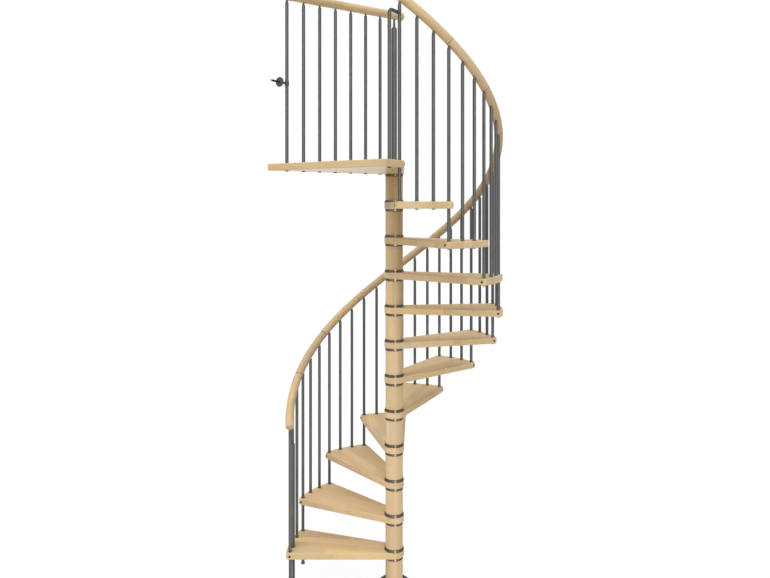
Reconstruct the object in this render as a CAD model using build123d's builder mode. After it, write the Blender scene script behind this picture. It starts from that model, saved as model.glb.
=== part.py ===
from build123d import *
import math
import os

# Spiral staircase: wooden treads threaded on a column, steel balusters, wooden handrail.
# Millimetres and degrees, +Z up, origin on the floor at the column's axis.
# The stair climbs clockwise seen from above. Balusters are numbered from the first tread up.

# Rise and turn
step_rise = 225
tread_count = 11
tread_angle = 24.624
first_corner_angle = 183.378
balusters_per_tread = 3
full_turn = 360
right_angle = 90
fit_clearance = 0.3
cut_overrun = 5

# Treads and landing
tread_thickness = 40
baluster_circle = 672
corner_margin = 26
hub_radius = 64
edge_round = 4
landing_front_overhang = 31
landing_front_angle = 239.25
landing_side_angle = 325.2
landing_corner_round = 5

# Column
pole_radius = 24.2
pole_wall = 9
sleeve_radius = 56.5
sleeve_chamfer = 1.5
ring_height = 16
upper_ring_radius = 59.5
upper_ring_lip = 4.5
upper_ring_lip_height = 5
lower_ring_radius = 59
lower_ring_chamfer = 2

# Base flange
flange_radius = 105
flange_height = 27
flange_rim_height = 6
flange_crown_radius = 62
flange_bulge = 5.5
flange_floor = 8
flange_bolt_circle_radius = 82
flange_bolt_count = 4
flange_bolt_start_angle = 45
flange_hole_radius = 5.5
flange_pocket_radius = 11

# Balusters
rod_radius = 10
collar_radius = 12.4
collar_height = 4
foot_radius = 9
foot_drop = 6
tip_cone_height = 8
tip_pin_radius = 6
tip_pin_show = 7
tip_pin_depth = 14
floor_foot_radius = 14
floor_foot_height = 16
floor_foot_rim = 3

# Handrail
rail_radius = 26.5
rail_height = 906.5
rail_lead_angle = 8.5
rail_first_joint_angle = 19.453
rail_segment_angle = 25.158
rail_trail_angle = 4.1
rail_segment_count = 11
rail_end_round = 10

# Landing post
post_radius = 18
post_height = 900
post_dome_height = 15.6
post_pin_radius = 9
post_pin_tip_radius = 7
post_pin_show = 50.4
post_pin_depth = 12
post_spigot_length = 40

# Newel post
newel_radius = 20
newel_height = 908
newel_gap = 3.1
newel_inset = 2.5
newel_stud_radius = 6
newel_stud_seat = 30
newel_crown_height = 18
newel_crown_radius = 2
newel_foot_radius = 23
newel_foot_height = 8

# Landing rail
landing_rail_angle = 212.45
landing_rail_overhang = 67
landing_baluster_count = 7
landing_end_margin = 98.7

# Corner hoop
hoop_spacing = 96.9
hoop_height = 812
hoop_bend_radius = 24

# Wall bracket
bracket_height = 474
bracket_angle = 235
bracket_reach = 63
bracket_clamp_radius = 12.6
bracket_clamp_height = 28
bracket_arm_radius = 7
bracket_plate_radius = 28.5
bracket_plate_thickness = 8
bracket_plate_round = 3
bracket_screw_radius = 5
bracket_screw_length = 77
bracket_screw_point = 24

# Derived places
baluster_step_angle = tread_angle / balusters_per_tread
baluster_rise = step_rise / balusters_per_tread
outer_radius = baluster_circle + corner_margin
side_angle = math.degrees(math.acos((hub_radius - corner_margin) / baluster_circle))
landing_level = tread_count + 1
landing_top = landing_level * step_rise
top_baluster = tread_count * balusters_per_tread
pole_bore_radius = pole_radius + fit_clearance
rod_hole_radius = rod_radius + fit_clearance
newel_spacing = rod_radius + newel_gap + newel_radius
rail_slope = math.atan(step_rise / (math.radians(tread_angle) * baluster_circle))
rail_drop = rail_radius / math.cos(rail_slope)
pin_reach_angle = math.degrees((rail_radius + tip_pin_radius) / baluster_circle)

os.makedirs("parts", exist_ok=True)


def spot(radius, angle):
    """Plan point at a radius and an angle about the column's axis."""
    return radius * math.cos(math.radians(angle)), radius * math.sin(math.radians(angle))


def beside(point, distance, angle):
    """Plan point at a distance and an angle from another plan point."""
    step_x, step_y = spot(distance, angle)
    return point[0] + step_x, point[1] + step_y


def baluster_angle(number):
    """Angle of a baluster about the column's axis."""
    return first_corner_angle - number * baluster_step_angle


def baluster_spot(number):
    """Plan point of a baluster."""
    return spot(baluster_circle, baluster_angle(number))


def rail_level(number):
    """Height of the handrail's centre line above a baluster."""
    return step_rise + rail_height + number * baluster_rise


def newel_place():
    """Plan point of the newel post, beside the second baluster and a little inside its circle."""
    angle = baluster_angle(1) + 2 * math.degrees(math.asin(newel_spacing / 2 / baluster_circle))
    return spot(baluster_circle - newel_inset, angle)


def crossing(first_angle, first_distance, second_angle, second_distance):
    """Plan point where two straight edges meet, each given by its normal's angle and its distance."""
    turn = math.radians(second_angle - first_angle)
    along = (second_distance - first_distance * math.cos(turn)) / math.sin(turn)
    return beside(spot(first_distance, first_angle), along, first_angle + right_angle)


def upright(point):
    """Vertical plane through a plan point, for the half outline of a turned piece."""
    return Plane(origin=(*point, 0), x_dir=(1, 0, 0), z_dir=(0, -1, 0))


def save(name, part):
    """Label a finished piece and write its file."""
    part.label = name
    export_step(part, f"parts/{name}.step")


def plain_foot(level):
    """Half outline of a rod's short foot below a tread whose underside is at this level."""
    return [(0, level - foot_drop), (foot_radius, level - foot_drop),
            (foot_radius, level), (rod_radius, level)]


def floor_foot():
    """Half outline of the bell-shaped foot on the floor under the first tread's back corner."""
    return [(0, 0), (floor_foot_radius, 0), (floor_foot_radius, floor_foot_rim),
            (rod_radius, floor_foot_height)]


def rod_outline(foot, floors, underside):
    """Half outline of a rod: foot, a collar on each floor it stands in, cone and pin."""
    outline = list(foot)
    for floor in floors:
        outline += [(rod_radius, floor), (collar_radius, floor),
                    (collar_radius, floor + collar_height), (rod_radius, floor + collar_height)]
    cone_top = underside - tip_pin_show
    tip = underside + tip_pin_depth
    outline += [(rod_radius, cone_top - tip_cone_height), (tip_pin_radius, cone_top),
                (tip_pin_radius, tip), (0, tip)]
    return outline


def baluster_outline(number):
    """Half outline of one baluster of the winding flight."""
    upper = number // balusters_per_tread + 1
    shared = number % balusters_per_tread == 0 and number > 0
    floors = [upper - 1, upper] if shared else [upper]
    lowest = floors[0] * step_rise - tread_thickness
    foot = floor_foot() if number == balusters_per_tread else plain_foot(lowest)
    return rod_outline(foot, [floor * step_rise for floor in floors],
                       rail_level(number) - rail_drop)


def make_balusters(numbers):
    """Turned rods of the winding flight, one solid each."""
    with BuildPart() as balusters:
        for number in numbers:
            place = baluster_spot(number)
            with BuildSketch(upright(place)):
                with BuildLine():
                    Polyline(*baluster_outline(number), close=True)
                make_face()
            revolve(axis=Axis((*place, 0), (0, 0, 1)))
    return balusters.part


def make_tread(number):
    """Wooden tread: round hub, straight sides, round corners and an outer arc."""
    first_rod = (number - 1) * balusters_per_tread
    last_rod = number * balusters_per_tread
    nosing = baluster_angle(first_rod)
    back = baluster_angle(last_rod)
    middle = (nosing + back) / 2
    nosing_normal = nosing + side_angle
    back_normal = back - side_angle
    nosing_rod = baluster_spot(first_rod)
    back_rod = baluster_spot(last_rod)
    nosing_start = beside(nosing_rod, corner_margin, nosing_normal)
    back_end = beside(back_rod, corner_margin, back_normal)
    top = number * step_rise
    with BuildPart() as tread:
        with BuildSketch(Plane.XY.offset(top - tread_thickness)):
            with BuildLine():
                Line(spot(hub_radius, nosing_normal), nosing_start)
                ThreePointArc(nosing_start,
                              beside(nosing_rod, corner_margin, (nosing_normal + nosing) / 2),
                              spot(outer_radius, nosing))
                ThreePointArc(spot(outer_radius, nosing), spot(outer_radius, middle),
                              spot(outer_radius, back))
                ThreePointArc(spot(outer_radius, back),
                              beside(back_rod, corner_margin, (back_normal + back) / 2), back_end)
                Line(back_end, spot(hub_radius, back_normal))
                ThreePointArc(spot(hub_radius, back_normal), spot(-hub_radius, middle),
                              spot(hub_radius, nosing_normal))
            make_face()
        extrude(amount=tread_thickness)
        fillet(tread.faces().filter_by(Axis.Z).edges(), edge_round)
        with Locations((0, 0, top)):
            Hole(pole_bore_radius)
        with Locations(*[(*baluster_spot(rod), top) for rod in range(first_rod, last_rod + 1)]):
            Hole(rod_hole_radius)
        if number == 1:
            with Locations((*newel_spot, top)):
                Hole(newel_stud_radius + fit_clearance)
    return tread.part


def make_handrail(start_angle, end_angle, round_start, round_end):
    """Helical length of handrail with blind holes for the pins of the balusters under it."""
    rise_per_degree = step_rise / tread_angle
    start_level = rail_level(0) + start_angle * rise_per_degree
    place = Location((0, 0, start_level), (0, 0, first_corner_angle - start_angle))
    path = place * Helix(pitch=full_turn * rise_per_degree,
                         height=(end_angle - start_angle) * rise_per_degree,
                         radius=baluster_circle, lefthand=True, mode=Mode.PRIVATE)
    with BuildPart() as rail:
        with BuildSketch(Plane(origin=path @ 0, z_dir=path % 0)):
            Circle(rail_radius)
        sweep(path=path)
        lower_end, upper_end = rail.faces().filter_by(GeomType.PLANE).sort_by(Axis.Z)
        if round_start:
            fillet(lower_end.edges(), rail_end_round)
        if round_end:
            fillet(upper_end.edges(), rail_end_round)
        for number in range(top_baluster + 1):
            if start_angle - pin_reach_angle < number * baluster_step_angle < end_angle + pin_reach_angle:
                pin_tip = rail_level(number) - rail_drop + tip_pin_depth + fit_clearance
                with Locations((*baluster_spot(number), pin_tip)):
                    Cylinder(tip_pin_radius + fit_clearance, rail_radius + tip_pin_depth,
                             align=(Align.CENTER, Align.CENTER, Align.MAX), mode=Mode.SUBTRACT)
    return rail.part


# Base flange with its socket for the pole and bolt holes in round pockets
with BuildPart() as base_flange:
    with BuildSketch(Plane.XZ):
        with BuildLine():
            Polyline((flange_crown_radius, flange_height), (0, flange_height), (0, 0),
                     (flange_radius, 0), (flange_radius, flange_rim_height))
            SagittaArc((flange_radius, flange_rim_height), (flange_crown_radius, flange_height),
                       flange_bulge)
        make_face()
    revolve(axis=Axis.Z)
    with Locations((0, 0, flange_height)):
        Hole(pole_bore_radius, depth=flange_height - flange_floor)
    with Locations((0, 0, flange_height)):
        with PolarLocations(flange_bolt_circle_radius, flange_bolt_count, start_angle=flange_bolt_start_angle):
            CounterBoreHole(flange_hole_radius, flange_pocket_radius, flange_height - flange_floor)
save("base_flange", base_flange.part)

# Steel pole that everything on the column is threaded on
with BuildPart() as centre_pole:
    with BuildSketch(Plane.XY.offset(flange_floor)):
        Circle(pole_radius)
        Circle(pole_radius - pole_wall, mode=Mode.SUBTRACT)
    extrude(amount=landing_top - flange_floor)
save("centre_pole", centre_pole.part)

# Wooden sleeves between the treads
with BuildPart() as column_sleeves:
    for level in range(landing_level):
        seat = level * step_rise + ring_height if level else flange_height
        sleeve_top = (level + 1) * step_rise - tread_thickness - ring_height
        with BuildSketch(Plane.XY.offset(seat)):
            Circle(sleeve_radius)
            Circle(pole_bore_radius, mode=Mode.SUBTRACT)
        extrude(amount=sleeve_top - seat)
    round_edges = column_sleeves.edges().filter_by(GeomType.CIRCLE)
    chamfer(round_edges.filter_by(lambda edge: edge.radius > pole_radius + sleeve_chamfer),
            sleeve_chamfer)
save("column_sleeves", column_sleeves.part)

# Metal rings that seat the sleeves on and under each tread
with BuildPart() as collar_rings:
    for level in range(1, landing_level + 1):
        ring_top = level * step_rise - tread_thickness
        ring_base = ring_top - ring_height
        with BuildSketch(Plane.XZ):
            with BuildLine():
                Polyline((pole_bore_radius, ring_base),
                         (lower_ring_radius - lower_ring_chamfer, ring_base),
                         (lower_ring_radius, ring_base + lower_ring_chamfer),
                         (lower_ring_radius, ring_top), (pole_bore_radius, ring_top), close=True)
            make_face()
        revolve(axis=Axis.Z)
    for level in range(1, landing_level):
        ring_base = level * step_rise
        ring_top = ring_base + ring_height
        lip_radius = upper_ring_radius + upper_ring_lip
        lip_top = ring_base + upper_ring_lip_height
        with BuildSketch(Plane.XZ):
            with BuildLine():
                Polyline((pole_bore_radius, ring_base), (lip_radius, ring_base),
                         (lip_radius, lip_top), (upper_ring_radius, lip_top + upper_ring_lip),
                         (upper_ring_radius, ring_top), (pole_bore_radius, ring_top), close=True)
            make_face()
        revolve(axis=Axis.Z)
save("collar_rings", collar_rings.part)

# Treads and the balusters of each tread
newel_spot = newel_place()
for number in range(1, tread_count + 1):
    first_rod = (number - 1) * balusters_per_tread
    save(f"tread_{number:02d}", make_tread(number))
    save(f"balusters_{number:02d}", make_balusters(range(first_rod, first_rod + balusters_per_tread)))
save("corner_baluster", make_balusters([top_baluster]))

# Landing: nosing corner over the last tread, short side edge, long front edge and back edge
landing_nosing = baluster_angle(top_baluster)
landing_nosing_normal = landing_nosing + side_angle
landing_nosing_rod = baluster_spot(top_baluster)
landing_nosing_start = beside(landing_nosing_rod, corner_margin, landing_nosing_normal)
landing_side_normal = landing_side_angle - full_turn
landing_side_start = beside(landing_nosing_rod, corner_margin, landing_side_normal)
landing_side_distance = (landing_side_start[0] * math.cos(math.radians(landing_side_normal))
                         + landing_side_start[1] * math.sin(math.radians(landing_side_normal)))
landing_front_distance = outer_radius + landing_front_overhang
landing_back_normal = landing_rail_angle - right_angle
near_corner = crossing(landing_front_angle, landing_front_distance,
                       landing_side_normal, landing_side_distance)
far_corner = crossing(landing_front_angle, landing_front_distance, landing_back_normal, hub_radius)
far_reach = math.hypot(*far_corner) * math.cos(math.asin(hub_radius / math.hypot(*far_corner)))
last_rod_reach = far_reach - landing_end_margin
landing_rod_spots = [spot(last_rod_reach * (place + 1) / landing_baluster_count, landing_rail_angle)
                     for place in range(landing_baluster_count)]
hoop_spot = beside(landing_nosing_rod, hoop_spacing, landing_side_normal - right_angle)
with BuildPart() as landing:
    with BuildSketch(Plane.XY.offset(landing_top - tread_thickness)) as landing_outline:
        with BuildLine():
            Line(spot(hub_radius, landing_nosing_normal), landing_nosing_start)
            ThreePointArc(landing_nosing_start,
                          beside(landing_nosing_rod, corner_margin,
                                 (landing_nosing_normal + landing_side_normal) / 2),
                          landing_side_start)
            Line(landing_side_start, near_corner)
            Line(near_corner, far_corner)
            Line(far_corner, spot(hub_radius, landing_back_normal))
            ThreePointArc(spot(hub_radius, landing_back_normal),
                          spot(hub_radius, (landing_back_normal + landing_nosing_normal) / 2),
                          spot(hub_radius, landing_nosing_normal))
        make_face()
        for corner in (near_corner, far_corner):
            fillet(landing_outline.vertices().sort_by_distance(corner)[0], landing_corner_round)
    extrude(amount=tread_thickness)
    fillet(landing.faces().filter_by(Axis.Z).edges(), edge_round)
    with Locations((0, 0, landing_top)):
        Hole(pole_bore_radius)
    with Locations(*[(*place, landing_top)
                     for place in [landing_nosing_rod, hoop_spot, *landing_rod_spots]]):
        Hole(rod_hole_radius)
save("landing", landing.part)

# Handrail of the winding flight
rail_start = -rail_lead_angle
rail_end = top_baluster * baluster_step_angle + rail_trail_angle
joint_angles = [rail_first_joint_angle + joint * rail_segment_angle
               for joint in range(rail_segment_count - 1)]
rail_angles = [rail_start, *joint_angles, rail_end]
for segment in range(rail_segment_count):
    piece = make_handrail(rail_angles[segment], rail_angles[segment + 1],
                          segment == 0, segment == rail_segment_count - 1)
    save(f"handrail_{segment + 1:02d}", piece)

# Newel: a leg from the floor with a stud through the first tread, and a tube over the stud
newel_seat = step_rise - tread_thickness
stud_top = step_rise + newel_stud_seat
newel_bore = newel_stud_radius + fit_clearance
with BuildPart() as newel_post:
    with BuildSketch(upright(newel_spot)):
        with BuildLine():
            Polyline((0, 0), (newel_foot_radius, 0), (newel_foot_radius, newel_foot_height),
                     (newel_radius, newel_foot_height), (newel_radius, newel_seat),
                     (newel_stud_radius, newel_seat), (newel_stud_radius, stud_top),
                     (0, stud_top), close=True)
        make_face()
    revolve(axis=Axis((*newel_spot, 0), (0, 0, 1)))
    with BuildSketch(upright(newel_spot)):
        with BuildLine():
            Polyline((newel_crown_radius, newel_height), (0, newel_height),
                     (0, stud_top + fit_clearance), (newel_bore, stud_top + fit_clearance),
                     (newel_bore, step_rise), (newel_radius, step_rise),
                     (newel_radius, newel_height - newel_crown_height))
            TangentArc((newel_radius, newel_height - newel_crown_height),
                       (newel_crown_radius, newel_height), tangent=(0, 1))
        make_face()
    revolve(axis=Axis((*newel_spot, 0), (0, 0, 1)))
save("newel_post", newel_post.part)

# Post over the column with a spigot in the pole, a domed top and a pin into the landing rail
spigot_radius = pole_radius - pole_wall - fit_clearance
post_top = landing_top + post_height
dome_top = post_top + post_dome_height
landing_rail_level = dome_top + post_pin_show + rail_radius
with BuildPart() as landing_post:
    with BuildSketch(Plane.XZ):
        with BuildLine():
            pin_end = landing_rail_level - rail_radius + post_pin_depth
            TangentArc((post_radius, post_top), (post_pin_radius, dome_top), tangent=(0, 1))
            Polyline((post_pin_radius, dome_top),
                     (post_pin_tip_radius, landing_rail_level - rail_radius),
                     (post_pin_tip_radius, pin_end), (0, pin_end),
                     (0, landing_top - post_spigot_length),
                     (spigot_radius, landing_top - post_spigot_length),
                     (spigot_radius, landing_top), (post_radius, landing_top),
                     (post_radius, post_top))
        make_face()
    revolve(axis=Axis.Z)
save("landing_post", landing_post.part)

# Straight row of balusters on the landing
with BuildPart() as landing_balusters:
    for place in landing_rod_spots:
        with BuildSketch(upright(place)):
            with BuildLine():
                Polyline(*rod_outline(plain_foot(landing_top - tread_thickness), [landing_top],
                                      landing_rail_level - rail_radius), close=True)
            make_face()
        revolve(axis=Axis((*place, 0), (0, 0, 1)))
save("landing_balusters", landing_balusters.part)

# Straight handrail over the landing post and balusters
rail_back_end = spot(-landing_rail_overhang, landing_rail_angle)
with BuildPart() as landing_handrail:
    with BuildSketch(Plane(origin=(*rail_back_end, landing_rail_level),
                           z_dir=(*spot(1, landing_rail_angle), 0))):
        Circle(rail_radius)
    extrude(amount=last_rod_reach + 2 * landing_rail_overhang)
    fillet(landing_handrail.edges().filter_by(GeomType.CIRCLE), rail_end_round)
    pin_mouth = landing_rail_level - rail_radius
    with Locations((0, 0, pin_mouth + post_pin_depth + fit_clearance)):
        Cylinder(post_pin_tip_radius + fit_clearance, rail_radius,
                 align=(Align.CENTER, Align.CENTER, Align.MAX), mode=Mode.SUBTRACT)
    with Locations(*[(*place, pin_mouth + tip_pin_depth + fit_clearance)
                     for place in landing_rod_spots]):
        Cylinder(tip_pin_radius + fit_clearance, rail_radius,
                 align=(Align.CENTER, Align.CENTER, Align.MAX), mode=Mode.SUBTRACT)
save("landing_handrail", landing_handrail.part)

# Bent rod beside the landing's corner baluster, coped round it at its upper end
hoop_foot = landing_top - tread_thickness - foot_drop
hoop_level = landing_top + hoop_height
with BuildPart() as corner_hoop:
    with BuildLine() as hoop_path:
        FilletPolyline((*hoop_spot, hoop_foot), (*hoop_spot, hoop_level),
                       (*landing_nosing_rod, hoop_level), radius=hoop_bend_radius)
    with BuildSketch(Plane.XY.offset(hoop_foot)):
        with Locations(hoop_spot):
            Circle(rod_radius)
    sweep(path=hoop_path.line)
    with Locations((*hoop_spot, landing_top)):
        Cylinder(collar_radius, collar_height, align=(Align.CENTER, Align.CENTER, Align.MIN))
    with Locations((*landing_nosing_rod, hoop_level)):
        Cylinder(rod_hole_radius, 2 * hoop_bend_radius, mode=Mode.SUBTRACT)
save("corner_hoop", corner_hoop.part)

# Wall bracket on the last landing baluster: clamp, straight arm and round plate, with a wood screw
clamp_spot = landing_rod_spots[-1]
clamp_level = landing_top + bracket_height
bracket_way = (*spot(1, bracket_angle), 0)
plate_spot = beside(clamp_spot, bracket_reach, bracket_angle)
with BuildPart() as wall_bracket:
    with Locations((*clamp_spot, clamp_level)):
        Cylinder(bracket_clamp_radius, bracket_clamp_height)
    with BuildSketch(Plane(origin=(*clamp_spot, clamp_level), z_dir=bracket_way)):
        Circle(bracket_arm_radius)
    extrude(amount=bracket_reach)
    with BuildSketch(Plane(origin=(*plate_spot, clamp_level), z_dir=bracket_way)):
        Circle(bracket_plate_radius)
    extrude(amount=-bracket_plate_thickness)
    plate_edges = wall_bracket.edges().filter_by(GeomType.CIRCLE).sort_by(SortBy.RADIUS)[-2:]
    fillet(plate_edges.sort_by(Axis((0, 0, 0), bracket_way))[0], bracket_plate_round)
    with Locations((*clamp_spot, clamp_level)):
        Cylinder(rod_hole_radius, bracket_clamp_height + cut_overrun, mode=Mode.SUBTRACT)
    with BuildSketch(Plane(origin=(*plate_spot, clamp_level), z_dir=bracket_way)):
        Circle(bracket_screw_radius)
    extrude(amount=bracket_screw_length - bracket_screw_point)
    point_base = beside(plate_spot, bracket_screw_length - bracket_screw_point, bracket_angle)
    with Locations(Plane(origin=(*point_base, clamp_level), z_dir=bracket_way)):
        Cone(bracket_screw_radius, 0, bracket_screw_point,
             align=(Align.CENTER, Align.CENTER, Align.MIN))
save("wall_bracket", wall_bracket.part)
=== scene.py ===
import math

import bmesh
import bpy
from mathutils import Matrix, Vector


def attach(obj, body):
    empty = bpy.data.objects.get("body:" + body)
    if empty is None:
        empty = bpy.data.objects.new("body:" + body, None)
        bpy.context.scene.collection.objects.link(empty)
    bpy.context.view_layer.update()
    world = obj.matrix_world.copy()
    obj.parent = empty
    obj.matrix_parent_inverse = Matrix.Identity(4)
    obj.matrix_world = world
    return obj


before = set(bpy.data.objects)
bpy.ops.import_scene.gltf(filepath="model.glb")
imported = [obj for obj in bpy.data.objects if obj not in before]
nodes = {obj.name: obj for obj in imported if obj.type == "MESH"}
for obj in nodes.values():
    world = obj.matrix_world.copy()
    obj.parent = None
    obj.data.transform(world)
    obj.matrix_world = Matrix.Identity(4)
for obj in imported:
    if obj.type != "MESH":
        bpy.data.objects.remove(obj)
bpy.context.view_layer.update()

# Sizes of the stair, in metres and degrees
MM = 0.001
STEP_RISE = 225 * MM
TREAD_COUNT = 11
TREAD_ANGLE = 24.624
FIRST_CORNER_ANGLE = 183.378
TREAD_THICKNESS = 40 * MM
BALUSTER_CIRCLE = 672 * MM
CORNER_MARGIN = 26 * MM
HUB_RADIUS = 64 * MM
SIDE_ANGLE = math.degrees(math.acos((HUB_RADIUS - CORNER_MARGIN) / BALUSTER_CIRCLE))
RISE_PER_DEGREE = STEP_RISE / TREAD_ANGLE
RISE_PER_RADIAN = STEP_RISE / math.radians(TREAD_ANGLE)
LANDING_TOP = (TREAD_COUNT + 1) * STEP_RISE
LANDING_FRONT_ANGLE = 239.25
LANDING_RAIL_ANGLE = 212.45
RAIL_RADIUS = 26.5 * MM
RAIL_HEIGHT = 906.5 * MM
RAIL_FIRST_HEIGHT = STEP_RISE + RAIL_HEIGHT
RAIL_JOINT_COUNT = 10
RAIL_FIRST_JOINT_ANGLE = 19.453
RAIL_SEGMENT_ANGLE = 25.158
BRACKET_HEIGHT = 474 * MM
BRACKET_ANGLE = 235
BRACKET_REACH = 63 * MM
LAST_ROD_REACH = 750.39 * MM
WALL_SCREW_RADIUS = 5 * MM
WALL_SCREW_LENGTH = 77 * MM
WALL_SCREW_POINT = 24 * MM
FLANGE_FLOOR = 8 * MM
FLANGE_BOLT_CIRCLE = 82 * MM
FLANGE_BOLT_COUNT = 4
FLANGE_FIRST_BOLT_ANGLE = 45

# Colours of the finishes, linear
BEECH_PALE = (0.616, 0.465, 0.274, 1)
BEECH_DEEP = (0.504, 0.360, 0.198, 1)
BEECH_FLECK = (0.300, 0.170, 0.075, 1)
STEEL_GREY = (0.116, 0.117, 0.118, 1)
STEEL_SHADE = (0.102, 0.103, 0.104, 1)
RING_DARK = (0.198, 0.164, 0.118, 1)
RING_SHADE = (0.182, 0.150, 0.108, 1)
SCREW_BLACK = (0.016, 0.014, 0.012, 1)
SCREW_SHADE = (0.024, 0.022, 0.019, 1)
FLANGE_DARK = (0.045, 0.046, 0.047, 1)
FLANGE_SHADE = (0.060, 0.061, 0.062, 1)
BRACKET_GREY = (0.085, 0.087, 0.088, 1)
POLE_GREY = (0.35, 0.35, 0.35, 1)
GLUE_LINE = (0.040, 0.025, 0.013, 1)
GLUE_SHADE = (0.085, 0.052, 0.026, 1)
WHITE = (1, 1, 1, 1)


def spot(radius, angle, height):
    """Point at a radius and an angle about the column's axis."""
    turn = math.radians(angle)
    return Vector((radius * math.cos(turn), radius * math.sin(turn), height))


def heading(angle):
    """Level direction at an angle about the column's axis."""
    return spot(1, angle, 0)


# Shader wiring

MIX_FIRST_SOCKET = 6
MIX_SECOND_SOCKET = 7
MIX_RESULT_SOCKET = 2
NOISE_LOW = 0.3
NOISE_HIGH = 0.7


def join(tree, value, socket):
    """Link an output to a socket, or set a plain value on it."""
    if isinstance(value, bpy.types.NodeSocket):
        tree.links.new(value, socket)
    else:
        socket.default_value = value


def calc(tree, operation, *values):
    """One math node."""
    node = tree.nodes.new("ShaderNodeMath")
    node.operation = operation
    for value, socket in zip(values, node.inputs):
        join(tree, value, socket)
    return node.outputs[0]


def plus(tree, first, second):
    """Sum of two numbers."""
    return calc(tree, "ADD", first, second)


def minus(tree, first, second):
    """Difference of two numbers."""
    return calc(tree, "SUBTRACT", first, second)


def times(tree, first, second):
    """Product of two numbers."""
    return calc(tree, "MULTIPLY", first, second)


def whole_parts(tree, number, size):
    """How many whole sizes a number holds."""
    return calc(tree, "FLOOR", calc(tree, "DIVIDE", number, size))


def diagonal(tree, first, second):
    """Length of the long side over two sides at a right angle."""
    return calc(tree, "SQRT", plus(tree, times(tree, first, first), times(tree, second, second)))


def vector_of(tree, x, y, z):
    """Three numbers as one vector."""
    node = tree.nodes.new("ShaderNodeCombineXYZ")
    for value, socket in zip((x, y, z), node.inputs):
        join(tree, value, socket)
    return node.outputs[0]


def parts_of(tree, vector):
    """A vector's three numbers."""
    node = tree.nodes.new("ShaderNodeSeparateXYZ")
    join(tree, vector, node.inputs[0])
    return tuple(node.outputs)


def stretched(tree, vector, scale):
    """A vector times a scale for each axis."""
    node = tree.nodes.new("ShaderNodeVectorMath")
    node.operation = "MULTIPLY"
    join(tree, vector, node.inputs[0])
    node.inputs[1].default_value = scale
    return node.outputs[0]


def turned(tree, vector, angle):
    """The three numbers of a vector turned about the upright axis."""
    node = tree.nodes.new("ShaderNodeVectorRotate")
    node.rotation_type = "Z_AXIS"
    join(tree, vector, node.inputs["Vector"])
    join(tree, angle, node.inputs["Angle"])
    return parts_of(tree, node.outputs[0])


def noise(tree, vector, scale=1.0, detail=2.0, roughness=0.55):
    """Grey noise, with its middle near a half."""
    node = tree.nodes.new("ShaderNodeTexNoise")
    join(tree, vector, node.inputs["Vector"])
    node.inputs["Scale"].default_value = scale
    node.inputs["Detail"].default_value = detail
    node.inputs["Roughness"].default_value = roughness
    return node.outputs["Fac"]


def random_numbers(tree, vector):
    """Three random numbers for each whole-number vector."""
    node = tree.nodes.new("ShaderNodeTexWhiteNoise")
    node.noise_dimensions = "3D"
    join(tree, vector, node.inputs["Vector"])
    return parts_of(tree, node.outputs["Color"])


def remap(tree, value, low, high, new_low, new_high):
    """A number moved from one range to another, kept inside it."""
    node = tree.nodes.new("ShaderNodeMapRange")
    join(tree, value, node.inputs["Value"])
    limits = {"From Min": low, "From Max": high, "To Min": new_low, "To Max": new_high}
    for name, number in limits.items():
        node.inputs[name].default_value = number
    return node.outputs["Result"]


def spread(tree, grey, low=0, high=1):
    """The middle of a noise spread over a range."""
    return remap(tree, grey, NOISE_LOW, NOISE_HIGH, low, high)


def mixed(tree, factor, first, second, blend="MIX"):
    """Two colours mixed by a factor."""
    node = tree.nodes.new("ShaderNodeMix")
    node.data_type = "RGBA"
    node.blend_type = blend
    join(tree, factor, node.inputs["Factor"])
    join(tree, first, node.inputs[MIX_FIRST_SOCKET])
    join(tree, second, node.inputs[MIX_SECOND_SOCKET])
    return node.outputs[MIX_RESULT_SOCKET]


def bumped(tree, height, strength, distance):
    """Normal from a height."""
    node = tree.nodes.new("ShaderNodeBump")
    node.inputs["Strength"].default_value = strength
    node.inputs["Distance"].default_value = distance
    join(tree, height, node.inputs["Height"])
    return node.outputs["Normal"]


def new_material(name):
    """Empty material: itself, its tree, its shader and the object's own coordinates."""
    material = bpy.data.materials.new(name)
    material.use_nodes = True
    tree = material.node_tree
    shader = tree.nodes["Principled BSDF"]
    place = tree.nodes.new("ShaderNodeTexCoord").outputs["Object"]
    return material, tree, shader, place


# Wood

STAVE_LENGTH = 460 * MM
STAVE_WIDTH = 62 * MM
SLEEVE_STAVE_WIDTH = 38 * MM
RAIL_STAVE_WIDTH = 500 * MM
STAVE_SHIFT_KEY = 3.0
LANDING_KEY = 12.0
LANDING_RAIL_KEY = 20.0
GRAIN_JUMP = 9.0
RING_SPACING = 3.2 * MM
RING_WANDER = 30 * MM
PITH_NEAREST = 20 * MM
PITH_SPREAD = 160 * MM
STREAK_SCALE = (2.2, 70.0, 70.0)
FIBRE_SCALE = (14.0, 420.0, 420.0)
FLECK_SCALE = (230.0, 850.0, 850.0)
CLOUD_SCALE = (1.6, 9.0, 9.0)
CLOUD_FINENESS = 1.7

# How far each layer of the grain goes from pale to deep beech
RING_SHARE = 0.16
STREAK_SHARE = 0.34
FIBRE_SHARE = 0.18
CLOUD_SHARE = 0.24
FLECK_SHARE = 0.40
FLECK_FROM = 0.66
FLECK_FULL = 0.74

# How far staves differ in tone, and in green and blue against red
STAVE_DEEPEST = 0.90
STAVE_PALEST = 1.07
GREEN_LEAST = 0.970
GREEN_MOST = 1.008
BLUE_LEAST = 0.88
BLUE_MOST = 1.05

# Varnished surface
FLECK_DENT_SHARE = 0.6
WOOD_BUMP = 0.12
WOOD_RELIEF = 0.15 * MM
WOOD_SMOOTHEST = 0.36
WOOD_ROUGHEST = 0.46
WOOD_SPECULAR = 0.25
VARNISH_WEIGHT = 0.12
VARNISH_ROUGHNESS = 0.24

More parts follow.
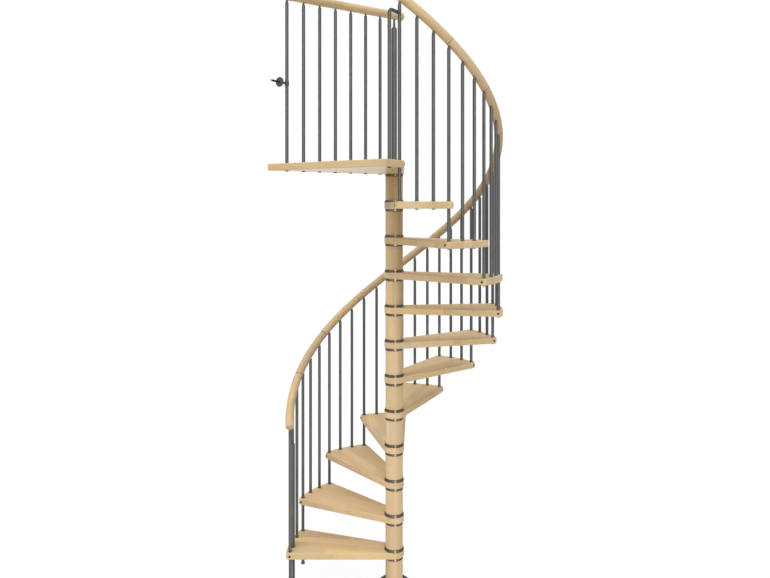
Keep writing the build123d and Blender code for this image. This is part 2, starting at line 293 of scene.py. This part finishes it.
# Grain of the sleeves and of the handrail
SLEEVE_TURN = 1.9
SLEEVE_GRAIN_SHARE = 0.2
LIFT_ALONG_SHARE = 0.78
LIFT_UP_SHARE = 0.62

# Painted shade and painted light along the handrail: darker above its low end and through the middle of
# its run, and lighter again toward its top
SHADE_DEEPENS_FROM = math.radians(2)
SHADE_DEEPENS_TO = math.radians(20)
LOW_END_PAINTED_SHADE = 0.90
MIDDLE_PAINTED_SHADE = 0.74
PAINTED_LIGHT_FROM = math.radians(130)
PAINTED_LIGHT_TO = math.radians(262)
TOP_END_PAINTED_LIGHT = 0.34


def wood_shader(tree, shader, grain, stave_width, tone_key, painted_shading=1.0):
    """Varnished beech in staves: growth rings round a pith of its own, streaks, fibres and flecks."""
    along, across, up = grain
    stave = whole_parts(tree, across, stave_width)
    shift, _, _ = random_numbers(tree, vector_of(tree, stave, tone_key, STAVE_SHIFT_KEY))
    length_index = calc(tree, "FLOOR", plus(tree, calc(tree, "DIVIDE", along, STAVE_LENGTH), shift))
    tone, pith_side, pith_depth = random_numbers(tree, vector_of(tree, stave, tone_key, length_index))
    place = vector_of(tree, plus(tree, along, times(tree, tone, GRAIN_JUMP)), across, up)

    side = plus(tree, across, times(tree, pith_side, PITH_SPREAD))
    depth = plus(tree, up, remap(tree, pith_depth, 0, 1, PITH_NEAREST, PITH_SPREAD))
    wander = noise(tree, stretched(tree, place, CLOUD_SCALE))
    reach = plus(tree, diagonal(tree, side, depth), times(tree, wander, RING_WANDER))
    ring = calc(tree, "PINGPONG", calc(tree, "DIVIDE", reach, RING_SPACING), 1.0)
    streak = noise(tree, stretched(tree, place, STREAK_SCALE), detail=4.0, roughness=0.6)
    fibre = noise(tree, stretched(tree, place, FIBRE_SCALE), roughness=0.6)
    fleck = noise(tree, stretched(tree, place, FLECK_SCALE), detail=1.0)
    cloud = noise(tree, stretched(tree, place, CLOUD_SCALE), CLOUD_FINENESS)

    deep_share = times(tree, ring, RING_SHARE)
    deep_share = plus(tree, deep_share, times(tree, spread(tree, streak), STREAK_SHARE))
    deep_share = plus(tree, deep_share, times(tree, fibre, FIBRE_SHARE))
    deep_share = plus(tree, deep_share, times(tree, spread(tree, cloud), CLOUD_SHARE))
    colour = mixed(tree, deep_share, BEECH_PALE, BEECH_DEEP)
    fleck_share = remap(tree, fleck, FLECK_FROM, FLECK_FULL, 0, FLECK_SHARE)
    colour = mixed(tree, fleck_share, colour, BEECH_FLECK)
    # The last factor is painted shade and painted light along the handrail, and 1 for all other wood.
    red = times(tree, remap(tree, tone, 0, 1, STAVE_DEEPEST, STAVE_PALEST), painted_shading)
    green = times(tree, red, remap(tree, pith_side, 0, 1, GREEN_LEAST, GREEN_MOST))
    blue = times(tree, red, remap(tree, pith_side, 0, 1, BLUE_LEAST, BLUE_MOST))
    colour = mixed(tree, 1.0, colour, vector_of(tree, red, green, blue), "MULTIPLY")
    join(tree, colour, shader.inputs["Base Color"])

    dent = times(tree, remap(tree, fleck, FLECK_FROM, FLECK_FULL, 0, 1), FLECK_DENT_SHARE)
    relief = bumped(tree, minus(tree, fibre, dent), WOOD_BUMP, WOOD_RELIEF)
    join(tree, relief, shader.inputs["Normal"])
    join(tree, spread(tree, streak, WOOD_SMOOTHEST, WOOD_ROUGHEST), shader.inputs["Roughness"])
    shader.inputs["Coat Weight"].default_value = VARNISH_WEIGHT
    shader.inputs["Coat Roughness"].default_value = VARNISH_ROUGHNESS
    shader.inputs["Specular IOR Level"].default_value = WOOD_SPECULAR


def tread_material():
    """Beech treads with staves that run from the column outward, each tread turned with its step."""
    material, tree, shader, place = new_material("beech_tread")
    _, _, height = parts_of(tree, place)
    number = calc(tree, "ROUND", calc(tree, "DIVIDE", height, STEP_RISE))
    half_tread = math.radians(TREAD_ANGLE) / 2
    climbed = minus(tree, times(tree, number, math.radians(TREAD_ANGLE)), half_tread)
    turn = minus(tree, climbed, math.radians(FIRST_CORNER_ANGLE))
    wood_shader(tree, shader, turned(tree, place, turn), STAVE_WIDTH, number)
    return material


def straight_material(name, angle, stave_width, tone_key):
    """Beech whose grain runs level at an angle about the column's axis."""
    material, tree, shader, place = new_material(name)
    wood_shader(tree, shader, turned(tree, place, -math.radians(angle)), stave_width, tone_key)
    return material


def sleeve_material():
    """Turned beech sleeves with upright grain, each cut from another blank."""
    material, tree, shader, place = new_material("beech_sleeve")
    x, y, z = parts_of(tree, place)
    number = whole_parts(tree, z, STEP_RISE)
    across, up, _ = turned(tree, vector_of(tree, x, y, 0.0), times(tree, number, SLEEVE_TURN))
    along = plus(tree, times(tree, z, SLEEVE_GRAIN_SHARE), times(tree, number, STAVE_LENGTH))
    wood_shader(tree, shader, (along, across, up), SLEEVE_STAVE_WIDTH, number)
    return material


def helix_material():
    """Beech handrail with its grain along the helix, each length a little different, painted shade in
    its middle and painted light toward its top.
    """
    material, tree, shader, place = new_material("beech_handrail")
    half_climb = TREAD_COUNT * TREAD_ANGLE / 2
    x, y, z = turned(tree, place, -math.radians(FIRST_CORNER_ANGLE - half_climb))
    climbed = minus(tree, math.radians(half_climb), calc(tree, "ARCTAN2", y, x))
    axis_height = plus(tree, times(tree, climbed, RISE_PER_RADIAN), RAIL_FIRST_HEIGHT)
    lift = minus(tree, z, axis_height)
    along = plus(tree, times(tree, climbed, BALUSTER_CIRCLE), times(tree, lift, LIFT_ALONG_SHARE))
    across = minus(tree, diagonal(tree, x, y), BALUSTER_CIRCLE)
    up = times(tree, lift, LIFT_UP_SHARE)
    past_joint = minus(tree, climbed, math.radians(RAIL_FIRST_JOINT_ANGLE))
    segment = whole_parts(tree, past_joint, math.radians(RAIL_SEGMENT_ANGLE))
    # Painted shade darkens the rail past its low end; painted light makes it lighter again toward its
    # top.
    painted_shade = remap(tree, climbed, SHADE_DEEPENS_FROM, SHADE_DEEPENS_TO, LOW_END_PAINTED_SHADE, MIDDLE_PAINTED_SHADE)
    painted_light = remap(tree, climbed, PAINTED_LIGHT_FROM, PAINTED_LIGHT_TO, 0, TOP_END_PAINTED_LIGHT)
    painted_shading = plus(tree, painted_shade, painted_light)
    wood_shader(tree, shader, (along, across, up), RAIL_STAVE_WIDTH, segment, painted_shading)
    return material


# Metal and glue

COAT_PATCH_SCALE = 7.0
COAT_SMOOTHER = 0.02
COAT_ROUGHER = 0.03
PEEL_SCALE = 420.0
PEEL_BUMP = 0.015
PEEL_RELIEF = 0.05 * MM
DRAWN_SCALE = (600.0, 600.0, 6.0)
DRAWN_SMOOTHEST = 0.3
DRAWN_ROUGHEST = 0.5
GLUE_PATCH_SCALE = 140.0
GLUE_ROUGHNESS = 0.6
BRACKET_SMOOTHEST = 0.34
BRACKET_ROUGHEST = 0.40
BRACKET_SPECULAR = 0.25
PLATE_FACE_MARGIN = 0.2 * MM


def coat_patch(tree, place):
    """Slow change over a powder coat."""
    return noise(tree, place, COAT_PATCH_SCALE, roughness=0.5)


def coat_material(name, colour, shade, roughness, specular, metal_share):
    """Metallic powder coat: faint orange peel and a little change in its tone."""
    material, tree, shader, place = new_material(name)
    patch = coat_patch(tree, place)
    join(tree, mixed(tree, spread(tree, patch), colour, shade), shader.inputs["Base Color"])
    wear = spread(tree, patch, roughness - COAT_SMOOTHER, roughness + COAT_ROUGHER)
    join(tree, wear, shader.inputs["Roughness"])
    peel = noise(tree, place, PEEL_SCALE, detail=1.0)
    join(tree, bumped(tree, peel, PEEL_BUMP, PEEL_RELIEF), shader.inputs["Normal"])
    shader.inputs["Specular IOR Level"].default_value = specular
    shader.inputs["Metallic"].default_value = metal_share
    return material


def pole_material():
    """Bare drawn steel of the hidden pole."""
    material, tree, shader, place = new_material("drawn_steel")
    line = noise(tree, stretched(tree, place, DRAWN_SCALE), detail=3.0)
    join(tree, mixed(tree, line, POLE_GREY, STEEL_GREY), shader.inputs["Base Color"])
    join(tree, spread(tree, line, DRAWN_SMOOTHEST, DRAWN_ROUGHEST), shader.inputs["Roughness"])
    shader.inputs["Metallic"].default_value = 1.0
    return material


def glue_material():
    """Dark thin line of glue between two lengths of handrail."""
    material, tree, shader, place = new_material("glue_line")
    patch = noise(tree, place, GLUE_PATCH_SCALE)
    join(tree, mixed(tree, patch, GLUE_LINE, GLUE_SHADE), shader.inputs["Base Color"])
    shader.inputs["Roughness"].default_value = GLUE_ROUGHNESS
    return material


def bracket_material():
    """Powder coat of the wall bracket, with the blackened screw past its round plate."""
    material, tree, shader, place = new_material("bracket_coat")
    way = heading(BRACKET_ANGLE)
    reach = tree.nodes.new("ShaderNodeVectorMath")
    reach.operation = "DOT_PRODUCT"
    join(tree, place, reach.inputs[0])
    reach.inputs[1].default_value = way
    plate_reach = heading(LANDING_RAIL_ANGLE).dot(way) * LAST_ROD_REACH + BRACKET_REACH
    plate_face = plate_reach + PLATE_FACE_MARGIN
    past_plate = calc(tree, "GREATER_THAN", reach.outputs["Value"], plate_face)
    patch = coat_patch(tree, place)
    coat = mixed(tree, spread(tree, patch), BRACKET_GREY, FLANGE_SHADE)
    join(tree, mixed(tree, past_plate, coat, SCREW_BLACK), shader.inputs["Base Color"])
    join(tree, spread(tree, patch, BRACKET_SMOOTHEST, BRACKET_ROUGHEST), shader.inputs["Roughness"])
    shader.inputs["Specular IOR Level"].default_value = BRACKET_SPECULAR
    return material


def dress(material, *names):
    """Give CAD nodes a finish."""
    for name in names:
        for slot in nodes[name].material_slots:
            slot.material = material


def named(start):
    """CAD nodes whose names start alike."""
    return [name for name in nodes if name.startswith(start)]


rod_steel = coat_material("rod_powder_coat", STEEL_GREY, STEEL_SHADE,
                          roughness=0.34, specular=0.25, metal_share=0.5)
ring_metal = coat_material("ring_gloss_coat", RING_DARK, RING_SHADE,
                           roughness=0.13, specular=0.5, metal_share=0.9)
flange_steel = coat_material("flange_powder_coat", FLANGE_DARK, FLANGE_SHADE,
                             roughness=0.45, specular=0.3, metal_share=0.2)
screw_steel = coat_material("screw_black", SCREW_BLACK, SCREW_SHADE,
                            roughness=0.42, specular=0.25, metal_share=0.0)
landing_wood = straight_material("beech_landing", LANDING_FRONT_ANGLE - 90, STAVE_WIDTH, LANDING_KEY)
landing_rail_wood = straight_material("beech_landing_rail", LANDING_RAIL_ANGLE, RAIL_STAVE_WIDTH,
                                      LANDING_RAIL_KEY)
dress(tread_material(), *named("tread_"))
dress(landing_wood, "landing")
dress(sleeve_material(), "column_sleeves")
dress(helix_material(), *named("handrail_"))
dress(landing_rail_wood, "landing_handrail")
dress(rod_steel, *named("balusters_"))
dress(rod_steel, "corner_baluster", "corner_hoop", "landing_balusters", "landing_post", "newel_post")
dress(bracket_material(), "wall_bracket")
dress(ring_metal, "collar_rings")
dress(flange_steel, "base_flange")
dress(pole_material(), "centre_pole")


# Small pieces

UPWARD = Vector((0, 0, 1))
SHARP_ANGLE = 35
HEAD_SIDES = 24
SOCKET_SIDES = 6


def circle(mesh, radius, height, sides, place):
    """Points of a circle about a placement's own Z axis."""
    turns = [math.tau * side / sides for side in range(sides)]
    return [mesh.verts.new(place @ Vector((radius * math.cos(turn), radius * math.sin(turn), height)))
            for turn in turns]


def lathe(mesh, outline, sides, place, closed=False):
    """Turn an outline of radius and height about a placement's own Z axis."""
    rows = [circle(mesh, radius, height, sides, place) for radius, height in outline]
    next_rows = rows[1:] + rows[:1] if closed else rows[1:]
    for lower, upper in zip(rows, next_rows):
        for side in range(sides):
            after = (side + 1) % sides
            mesh.faces.new((lower[side], lower[after], upper[after], upper[side]))
    return rows


def facing(point, direction):
    """Placement whose own Z axis points along a direction."""
    return Matrix.Translation(point) @ direction.to_track_quat("Z", "Y").to_matrix().to_4x4()


def socket_head(mesh, place, radius, height, socket_radius, socket_depth, edge):
    """Round screw head with a bevelled rim and a hexagon socket."""
    outline = [(radius, 0), (radius, height - edge), (radius - edge, height)]
    rows = lathe(mesh, outline, HEAD_SIDES, place)
    mesh.faces.new(list(reversed(rows[0])))
    rim = rows[-1]
    top = circle(mesh, socket_radius, height, SOCKET_SIDES, place)
    floor = circle(mesh, socket_radius, height - socket_depth, SOCKET_SIDES, place)
    per_corner = HEAD_SIDES // SOCKET_SIDES
    for corner in range(SOCKET_SIDES):
        after = (corner + 1) % SOCKET_SIDES
        arc = [rim[(corner * per_corner + step) % HEAD_SIDES] for step in range(per_corner + 1)]
        mesh.faces.new([*arc, top[after], top[corner]])
        mesh.faces.new((top[corner], top[after], floor[after], floor[corner]))
    mesh.faces.new(floor)


def finished(name, mesh, material):
    """Make an object of a mesh, with its finish, riding the stair."""
    data = bpy.data.meshes.new(name)
    bmesh.ops.recalc_face_normals(mesh, faces=mesh.faces)
    mesh.to_mesh(data)
    mesh.free()
    data.materials.append(material)
    data.shade_smooth()
    data.set_sharp_from_angle(angle=math.radians(SHARP_ANGLE))
    piece = bpy.data.objects.new(name, data)
    bpy.context.scene.collection.objects.link(piece)
    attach(piece, "root")
    return piece


THREAD_PITCH = 4.5 * MM
THREAD_STEPS = 20
THREAD_RISE = 1.3 * MM
THREAD_HALF = 0.8 * MM
THREAD_ROOT = 0.2 * MM
THREAD_START = 6 * MM
THREAD_END = WALL_SCREW_LENGTH - 3 * MM
THREAD_POINT_SHARE = 0.35


def screw_thread():
    """Raised thread that winds round the wall screw and runs out at its point."""
    mesh = bmesh.new()
    way = heading(BRACKET_ANGLE)
    rod_place = spot(LAST_ROD_REACH, LANDING_RAIL_ANGLE, LANDING_TOP + BRACKET_HEIGHT)
    place = facing(rod_place + way * BRACKET_REACH, way)
    step_count = int((THREAD_END - THREAD_START) / THREAD_PITCH * THREAD_STEPS)
    rows = []
    for step in range(step_count + 1):
        turn = math.tau * step / THREAD_STEPS
        reach = THREAD_START + THREAD_PITCH * step / THREAD_STEPS
        core = WALL_SCREW_RADIUS * min(1, (WALL_SCREW_LENGTH - reach) / WALL_SCREW_POINT)
        rise = THREAD_RISE * min(1, step / THREAD_STEPS, THREAD_POINT_SHARE + core / WALL_SCREW_RADIUS)
        root = core - THREAD_ROOT
        row = []
        for radius, shift in ((root, -THREAD_HALF), (core + rise, 0), (root, THREAD_HALF)):
            point = Vector((radius * math.cos(turn), radius * math.sin(turn), reach + shift))
            row.append(mesh.verts.new(place @ point))
        rows.append(row)
    for before, after in zip(rows, rows[1:]):
        for side in range(3):
            other = (side + 1) % 3
            mesh.faces.new((before[side], before[other], after[other], after[side]))
    mesh.faces.new(rows[0])
    mesh.faces.new(list(reversed(rows[-1])))
    return finished("wall_screw_thread", mesh, screw_steel)


SCREW_RADIUS = 6.8 * MM
SCREW_PROUD = 3.0 * MM
SCREW_SUNK = 2.0 * MM
SCREW_SOCKET_RADIUS = 3.3 * MM
SCREW_SOCKET_DEPTH = 2.6 * MM
SCREW_EDGE = 1.4 * MM


def set_screw(mesh, angle, side_angle, height):
    """Button-headed screw in a tread's side beside a corner baluster, a little proud of the wood."""
    way = heading(side_angle)
    foot = spot(BALUSTER_CIRCLE, angle, height) + (CORNER_MARGIN - SCREW_SUNK) * way
    socket_head(mesh, facing(foot, way), SCREW_RADIUS, SCREW_SUNK + SCREW_PROUD,
                SCREW_SOCKET_RADIUS, SCREW_SOCKET_DEPTH, SCREW_EDGE)


def set_screws():
    """Screws that clamp the corner balusters, in the sides of the treads and the landing."""
    mesh = bmesh.new()
    for number in range(1, TREAD_COUNT + 2):
        height = number * STEP_RISE - TREAD_THICKNESS / 2
        nosing = FIRST_CORNER_ANGLE - (number - 1) * TREAD_ANGLE
        set_screw(mesh, nosing, nosing + SIDE_ANGLE, height)
        if number <= TREAD_COUNT:
            back = nosing - TREAD_ANGLE
            set_screw(mesh, back, back - SIDE_ANGLE, height)
    return finished("set_screws", mesh, screw_steel)


BOLT_HEAD_RADIUS = 8 * MM
BOLT_HEAD_HEIGHT = 10 * MM
BOLT_SOCKET_RADIUS = 4.6 * MM
BOLT_SOCKET_DEPTH = 5 * MM
BOLT_EDGE = 0.9 * MM
WASHER_RADIUS = 10.4 * MM
WASHER_BORE = 5.6 * MM
WASHER_HEIGHT = 1.6 * MM
WASHER_SIDES = 32


def flange_bolts():
    """Socket-head bolts on washers in the pockets of the base flange."""
    mesh = bmesh.new()
    washer = [(WASHER_BORE, 0), (WASHER_RADIUS, 0), (WASHER_RADIUS, WASHER_HEIGHT),
              (WASHER_BORE, WASHER_HEIGHT)]
    for bolt in range(FLANGE_BOLT_COUNT):
        angle = FLANGE_FIRST_BOLT_ANGLE + 360 / FLANGE_BOLT_COUNT * bolt
        foot = spot(FLANGE_BOLT_CIRCLE, angle, FLANGE_FLOOR)
        lathe(mesh, washer, WASHER_SIDES, facing(foot, UPWARD), closed=True)
        socket_head(mesh, facing(foot + WASHER_HEIGHT * UPWARD, UPWARD), BOLT_HEAD_RADIUS,
                    BOLT_HEAD_HEIGHT, BOLT_SOCKET_RADIUS, BOLT_SOCKET_DEPTH, BOLT_EDGE)
    return finished("flange_bolts", mesh, screw_steel)


JOINT_HALF_WIDTH = 1.5 * MM
JOINT_PROUD = 0.15 * MM
JOINT_DEPTH = 0.5 * MM
JOINT_SIDES = 48


def rail_joint_lines():
    """Thin lines of glue round the handrail where two lengths meet."""
    mesh = bmesh.new()
    outer = RAIL_RADIUS + JOINT_PROUD
    inner = outer - JOINT_DEPTH
    outline = [(inner, -JOINT_HALF_WIDTH), (outer, -JOINT_HALF_WIDTH), (outer, JOINT_HALF_WIDTH),
               (inner, JOINT_HALF_WIDTH)]
    run_per_degree = math.radians(1) * BALUSTER_CIRCLE
    for joint in range(RAIL_JOINT_COUNT):
        turn = RAIL_FIRST_JOINT_ANGLE + joint * RAIL_SEGMENT_ANGLE
        angle = FIRST_CORNER_ANGLE - turn
        centre = spot(BALUSTER_CIRCLE, angle, RAIL_FIRST_HEIGHT + turn * RISE_PER_DEGREE)
        way = (heading(angle - 90) * run_per_degree + UPWARD * RISE_PER_DEGREE).normalized()
        lathe(mesh, outline, JOINT_SIDES, facing(centre, way), closed=True)
    return finished("rail_joint_lines", mesh, glue_material())


screw_thread()
set_screws()
flange_bolts()
rail_joint_lines()


# Floor

FLOOR_HALF = 9.0
FLOOR_SEGMENTS = 2
FLOOR_PALE = (0.65, 0.65, 0.65, 1)
FLOOR_SEEN = (0.065, 0.065, 0.065, 1)
FLOOR_GLOW = 0.935
FLOOR_ROUGHNESS = 0.9


def studio_floor():
    """Pale floor under the stair, white to the camera and softer in the light that it gives back."""
    mesh = bmesh.new()
    bmesh.ops.create_grid(mesh, x_segments=FLOOR_SEGMENTS, y_segments=FLOOR_SEGMENTS, size=FLOOR_HALF)
    data = bpy.data.meshes.new("studio_floor")
    mesh.to_mesh(data)
    mesh.free()
    material, tree, shader, _ = new_material("pale_floor")
    seen = tree.nodes.new("ShaderNodeLightPath").outputs["Is Camera Ray"]
    join(tree, mixed(tree, seen, FLOOR_PALE, FLOOR_SEEN), shader.inputs["Base Color"])
    join(tree, times(tree, seen, FLOOR_GLOW), shader.inputs["Emission Strength"])
    shader.inputs["Roughness"].default_value = FLOOR_ROUGHNESS
    shader.inputs["Specular IOR Level"].default_value = 0.0
    shader.inputs["Emission Color"].default_value = WHITE
    data.materials.append(material)
    floor = bpy.data.objects.new("studio_floor", data)
    bpy.context.scene.collection.objects.link(floor)
    floor.visible_glossy = False


studio_floor()


# Light

BACKDROP = 1.02
FILL = 0.20
LEAST_LEVEL_LENGTH = 0.001

# Brightness of the studio in reflections
GLOSS_BACK = 0.40
GLOSS_FRONT = 0.66
GLOSS_LOW = 0.78
LOW_FROM = 0.05
LOW_TO = -0.15
GLOSS_GROUND = 1.0
GROUND_FROM = 0.0
GROUND_TO = -0.04
BEHIND_FROM = -0.75
BEHIND_TO = -0.95
STRIP_LEVEL = 4.5
STRIP_AZIMUTH = 15
STRIP_EDGE = 0.986
STRIP_CORE = 0.996


def studio_gloss(tree):
    """Brightness of the studio in reflections: bright front, dim sides, a strip, pale ground behind."""
    x, y, z = parts_of(tree, tree.nodes.new("ShaderNodeTexCoord").outputs["Generated"])
    level = calc(tree, "MAXIMUM", diagonal(tree, x, y), LEAST_LEVEL_LENGTH)
    front = calc(tree, "DIVIDE", times(tree, y, -1.0), level)
    half = times(tree, plus(tree, front, 1.0), 0.5)
    wide = plus(tree, times(tree, times(tree, half, half), GLOSS_FRONT), GLOSS_BACK)
    around = times(tree, wide, remap(tree, z, LOW_FROM, LOW_TO, 1, GLOSS_LOW))

    turn = math.radians(STRIP_AZIMUTH)
    toward = plus(tree, times(tree, x, math.sin(turn)), times(tree, y, -math.cos(turn)))
    strip = remap(tree, calc(tree, "DIVIDE", toward, level), STRIP_EDGE, STRIP_CORE, 0, STRIP_LEVEL)

    below = remap(tree, z, GROUND_FROM, GROUND_TO, 0, GLOSS_GROUND)
    ground = times(tree, remap(tree, front, BEHIND_FROM, BEHIND_TO, 0, 1), below)
    return plus(tree, around, plus(tree, strip, ground))


def background(tree, strength):
    """White light of some strength from all around."""
    node = tree.nodes.new("ShaderNodeBackground")
    node.inputs["Color"].default_value = WHITE
    join(tree, strength, node.inputs["Strength"])
    return node.outputs[0]


def by_ray(tree, ray, other_light, ray_light):
    """One light for a kind of ray, and another for the rest."""
    node = tree.nodes.new("ShaderNodeMixShader")
    for output, socket in zip((ray, other_light, ray_light), node.inputs):
        tree.links.new(output, socket)
    return node.outputs[0]


def world_light():
    """White backdrop, with a dimmer even light on the stair and a studio in its reflections."""
    world = bpy.data.worlds.new("studio")
    bpy.context.scene.world = world
    world.use_nodes = True
    tree = world.node_tree
    tree.nodes.remove(tree.nodes["Background"])
    rays = tree.nodes.new("ShaderNodeLightPath").outputs
    gloss = background(tree, studio_gloss(tree))
    unseen = by_ray(tree, rays["Is Glossy Ray"], background(tree, FILL), gloss)
    light = by_ray(tree, rays["Is Camera Ray"], unseen, background(tree, BACKDROP))
    tree.links.new(light, tree.nodes["World Output"].inputs["Surface"])


def sun_light(name, direction, angle, energy):
    """Wide soft light from far away, along a direction."""
    light = bpy.data.lights.new(name, "SUN")
    light.energy = energy
    light.angle = math.radians(angle)
    lamp = bpy.data.objects.new(name, light)
    lamp.rotation_euler = Vector(direction).to_track_quat("-Z", "Y").to_euler()
    lamp.visible_glossy = False
    bpy.context.scene.collection.objects.link(lamp)


world_light()
sun_light("top_light", direction=(0, 0, -1), angle=100, energy=3.37)
sun_light("front_light", direction=(0, 0.84, -0.54), angle=60, energy=1.13)
sun_light("left_light", direction=(0.75, 0.35, -0.56), angle=60, energy=1.07)
sun_light("right_light", direction=(-0.75, 0.35, -0.56), angle=60, energy=0.46)


# Camera

CAMERA_DISTANCE = 4.353
CAMERA_HEIGHT = 2.4325
SENSOR_WIDTH = 36
LENS = 31.29
SHIFT = (-0.0119, -0.1037)
CLIP_END = 100


def photo_camera():
    """Camera that stands where the photograph was taken from."""
    lens = bpy.data.cameras.new("photo_camera")
    lens.sensor_width = SENSOR_WIDTH
    lens.lens = LENS
    lens.shift_x, lens.shift_y = SHIFT
    lens.clip_end = CLIP_END
    camera = bpy.data.objects.new("photo_camera", lens)
    camera.location = (0, -CAMERA_DISTANCE, CAMERA_HEIGHT)
    camera.rotation_euler = (math.radians(90), 0, 0)
    bpy.context.scene.collection.objects.link(camera)
    bpy.context.scene.camera = camera


photo_camera()
bpy.context.scene.view_settings.view_transform = "Standard"
